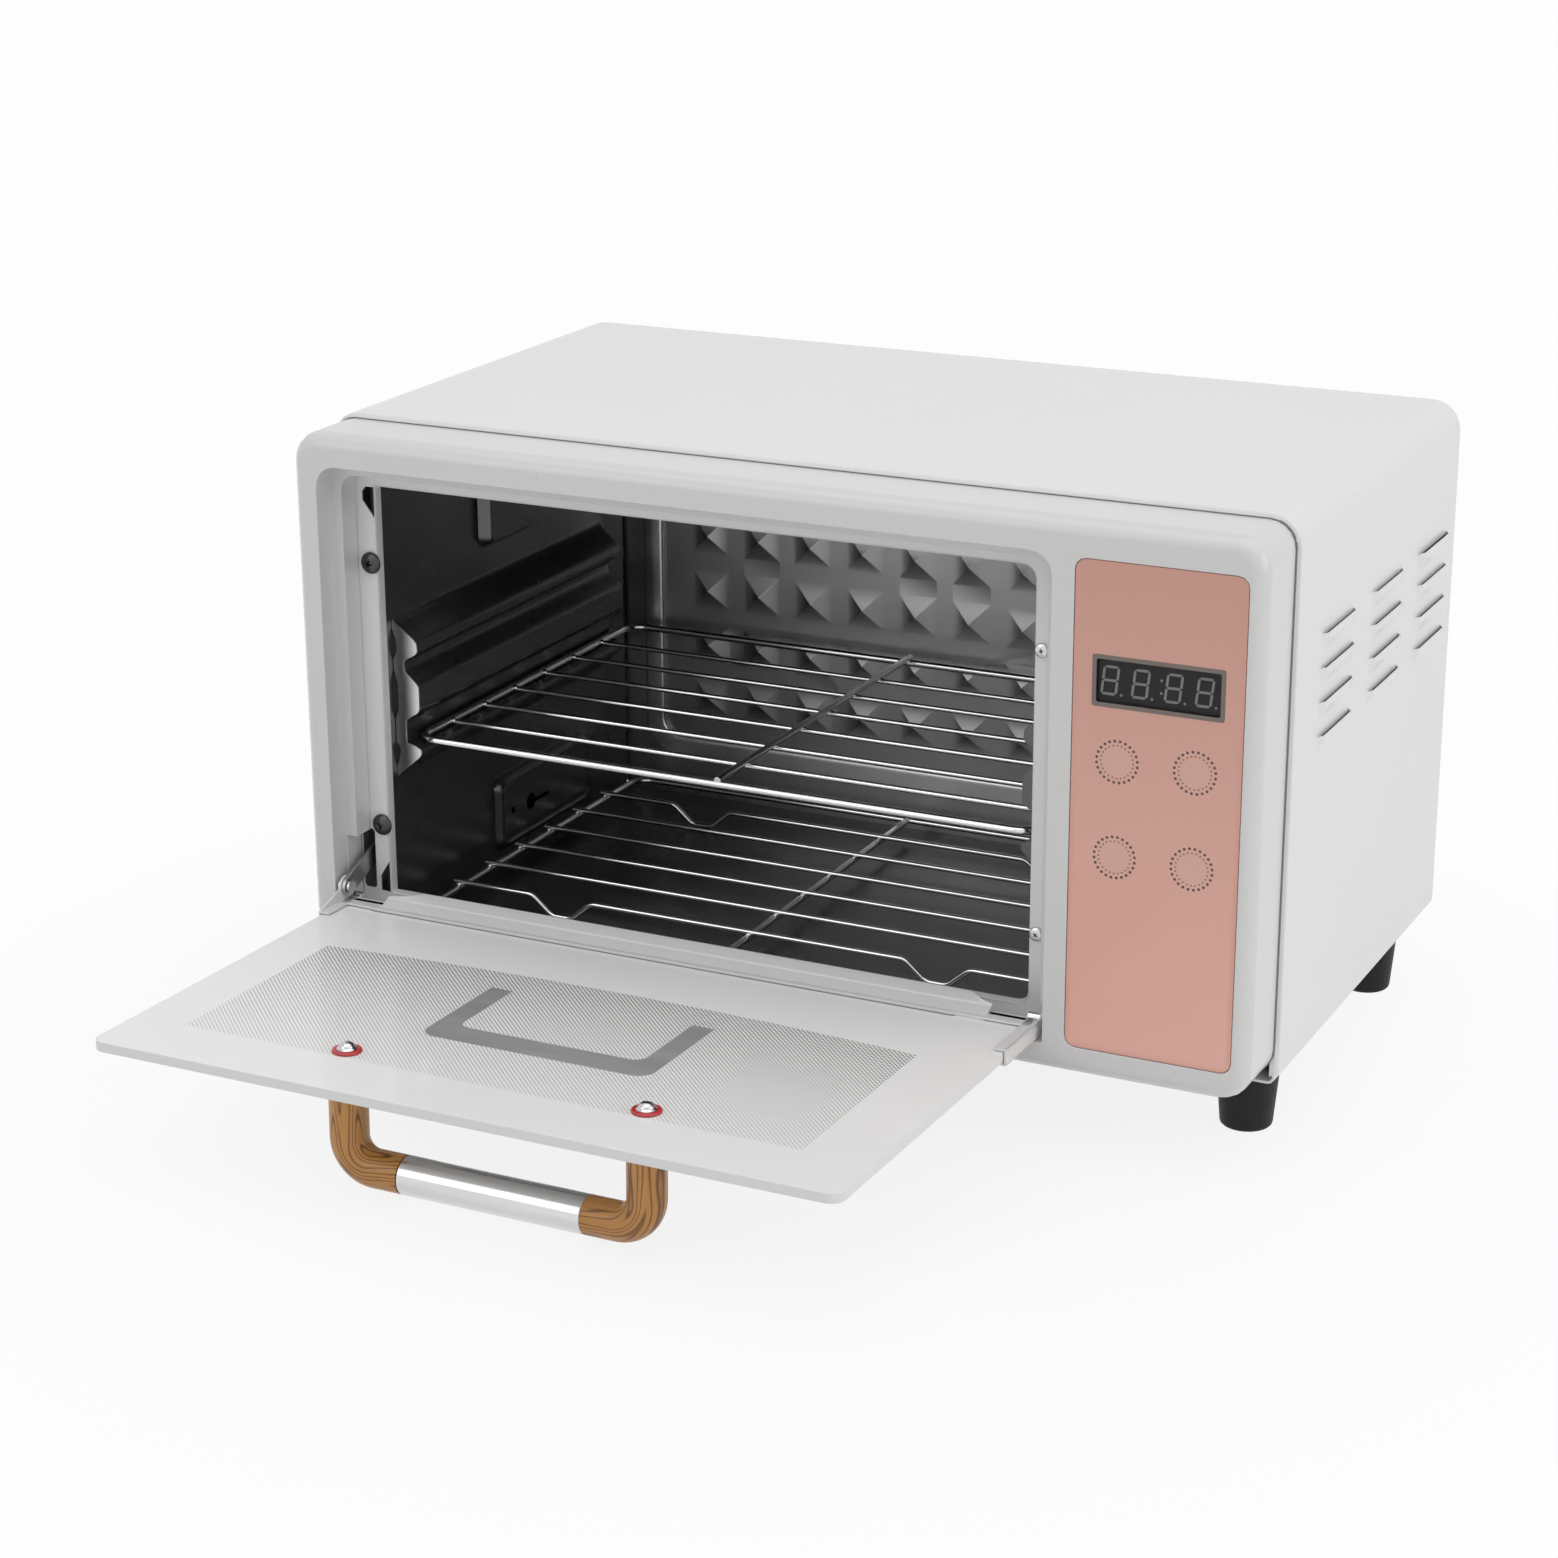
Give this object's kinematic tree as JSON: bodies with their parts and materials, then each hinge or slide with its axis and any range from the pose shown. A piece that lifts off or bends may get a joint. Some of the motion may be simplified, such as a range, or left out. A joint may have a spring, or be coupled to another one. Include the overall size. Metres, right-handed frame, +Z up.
{
  "type": "uv sterilizer cabinet",
  "caption": "Box cabinet on feet with a drop-down printed glass door, bent tube handle, wire racks, a ribbed dark cavity with a lamp, and a narrow touch panel beside the opening.",
  "frame": {"origin": "middle of the footprint of the whole object with its door open, on the plane the feet stand on", "axes": "+X to the right seen from the front, -Y towards the front where the door opens, +Z up"},
  "size_m": [0.36, 0.3649, 0.2202],
  "materials": {
    "white_enamel": "satin white enamel on sheet steel",
    "white_plastic": "white moulded plastic",
    "dark_steel": "dark reflective coated sheet",
    "bright_steel": "embossed bright sheet",
    "chrome_wire": "plated wire",
    "zinc_plate": "plated screws and pins",
    "brushed_steel": "brushed tube",
    "printed_glass": "tempered glass with a white print and a dotted window",
    "wood_grain": "dark grained wood look",
    "rose_panel": "rose satin film",
    "smoked_lens": "smoked lens over unlit digits",
    "black_plastic": "moulded black plastic",
    "circuit_board": "green board",
    "touch_spring": "sprung contact",
    "quartz_lamp": "clear lamp tube",
    "porcelain": "ceramic lamp holder",
    "mica": "mica plate",
    "black_rubber": "moulded rubber feet",
    "red_fibre": "red fibre washer",
    "blackened_screw": "blackened screws"
  },
  "bodies": {
    "cabinet": {"base_pan": "white_enamel", "cavity_back": "bright_steel", "cavity_ceiling": "dark_steel", "cavity_floor": "dark_steel", "cavity_frame": "white_enamel", "cavity_wall_left": "dark_steel", "cavity_wall_right": "dark_steel", "control_board": "circuit_board", "control_panel": "rose_panel", "display_module": "black_plastic", "display_window": "smoked_lens", "door_switch": "black_plastic", "drying_heater": "mica", "foot_front_left": "black_rubber", "foot_front_right": "black_rubber", "foot_rear_left": "black_rubber", "foot_rear_right": "black_rubber", "foot_screw_front_left": "zinc_plate", "foot_screw_front_right": "zinc_plate", "foot_screw_rear_left": "zinc_plate", "foot_screw_rear_right": "zinc_plate", "frame_screw_1": "blackened_screw", "frame_screw_2": "blackened_screw", "frame_screw_3": "blackened_screw", "frame_screw_4": "blackened_screw", "front_bezel": "white_plastic", "lamp_ballast": "black_plastic", "lamp_holder_left": "porcelain", "lamp_holder_right": "porcelain", "lamp_reflector": "bright_steel", "outer_shell": "white_enamel", "power_board": "circuit_board", "power_inlet": "black_plastic", "rear_cover": "white_enamel", "rear_screw_1": "zinc_plate", "rear_screw_2": "zinc_plate", "rear_screw_3": "zinc_plate", "rear_screw_4": "zinc_plate", "thermostat": "bright_steel", "touch_spring_1": "touch_spring", "touch_spring_2": "touch_spring", "touch_spring_3": "touch_spring", "touch_spring_4": "touch_spring", "uv_lamp": "quartz_lamp"},
    "door": {"door_glass": "printed_glass", "hinge_rail": "white_enamel", "hinge_pin_left": "zinc_plate", "hinge_pin_right": "zinc_plate", "link_rivet": "zinc_plate", "handle_grip_left": "wood_grain", "handle_grip_right": "wood_grain", "handle_sleeve": "brushed_steel", "handle_screw_left": "zinc_plate", "handle_screw_right": "zinc_plate", "handle_washer_left": "red_fibre", "handle_washer_right": "red_fibre"},
    "link_arm": {"link_arm": "dark_steel"},
    "upper_rack": {"upper_rack": "chrome_wire"},
    "lower_rack": {"lower_rack": "chrome_wire"}
  },
  "joints": [
    {"name": "door_hinge", "type": "hinge", "parent": "cabinet", "child": "door", "pos_m": [-0.0305, -0.02403, 0.04495], "axis": [-1, 0, 0], "range_deg": [0, 88.6]},
    {"name": "link_pivot", "type": "hinge", "parent": "door", "child": "link_arm", "pos_m": [-0.1655, -0.02839, 0.05061], "axis": [1, 0, 0], "range_deg": [0, 88.6]},
    {"name": "upper_rack_slide", "type": "slide", "parent": "cabinet", "child": "upper_rack", "axis": [0, -1, 0], "range_m": [0, 0.022]},
    {"name": "lower_rack_slide", "type": "slide", "parent": "cabinet", "child": "lower_rack", "axis": [0, -1, 0], "range_m": [0, 0.011]}
  ],
  "couplings": [
    {"joint": "link_pivot", "follows": "door_hinge", "ratio": 1}
  ]
}
